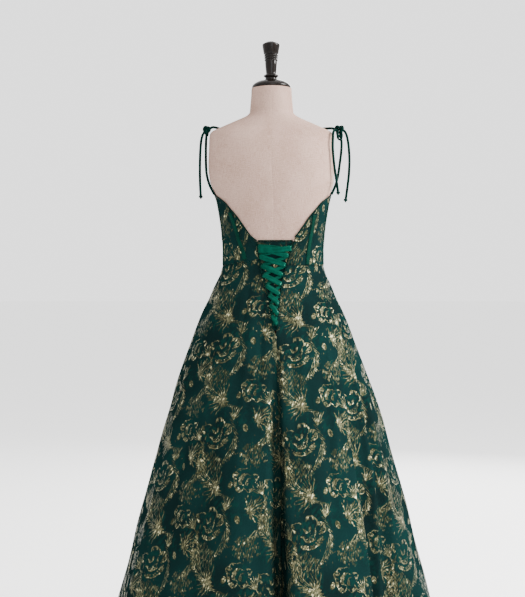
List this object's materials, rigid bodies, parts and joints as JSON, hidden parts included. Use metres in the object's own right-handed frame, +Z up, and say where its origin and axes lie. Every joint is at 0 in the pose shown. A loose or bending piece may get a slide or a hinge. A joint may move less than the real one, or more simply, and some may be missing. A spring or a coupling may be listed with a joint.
{
  "type": "laced prom dress on a limbless dress form",
  "caption": "Floor-length strapless-cut prom dress in brocade with a laced open back and tied spaghetti straps, on a limbless dress form with a round stand.",
  "frame": {"origin": "centre of the underside of the stand's round base", "axes": "+Z up; the dress faces -Y, so its laced back faces +Y, and the wearer's left is +X"},
  "size_m": [0.9087, 0.858, 1.6625],
  "materials": {
    "brocade": "woven brocade with metallic gold motifs",
    "trim": "dark green satin piping and tape",
    "ribbon": "emerald satin",
    "satin_cord": "dark green satin rouleau",
    "linen": "plain linen",
    "dark_wood": "gloss varnish",
    "stand": "satin black"
  },
  "bodies": {
    "root": {"bodice_front": "brocade", "bodice_side_front_left": "brocade", "bodice_side_front_right": "brocade", "bodice_side_back_left": "brocade", "bodice_side_back_right": "brocade", "bodice_centre_back_left": "brocade", "bodice_centre_back_right": "brocade", "skirt_front": "brocade", "skirt_back_left": "brocade", "skirt_back_right": "brocade", "modesty_panel": "brocade", "casing_back_left": "trim", "casing_back_right": "trim", "casing_side_left": "trim", "casing_side_right": "trim", "binding_back_left": "trim", "binding_back_right": "trim", "binding_front": "trim", "binding_modesty": "trim", "lacing_loops_left": "trim", "lacing_loops_right": "trim", "lacing_over": "ribbon", "lacing_under": "ribbon", "strap_back_left": "satin_cord", "strap_back_right": "satin_cord", "strap_front_left": "satin_cord", "strap_front_right": "satin_cord", "knot_left": "satin_cord", "knot_right": "satin_cord", "loop_right": "satin_cord", "tail_left": "satin_cord", "tail_right_inner": "satin_cord", "tail_right_outer": "satin_cord", "tail_knot_left": "satin_cord", "tail_knot_right_inner": "satin_cord", "tail_knot_right_outer": "satin_cord", "form_torso": "linen", "form_neck_cap": "dark_wood", "form_finial": "dark_wood", "stand_base": "stand", "stand_pole": "stand"}
  },
  "joints": []
}
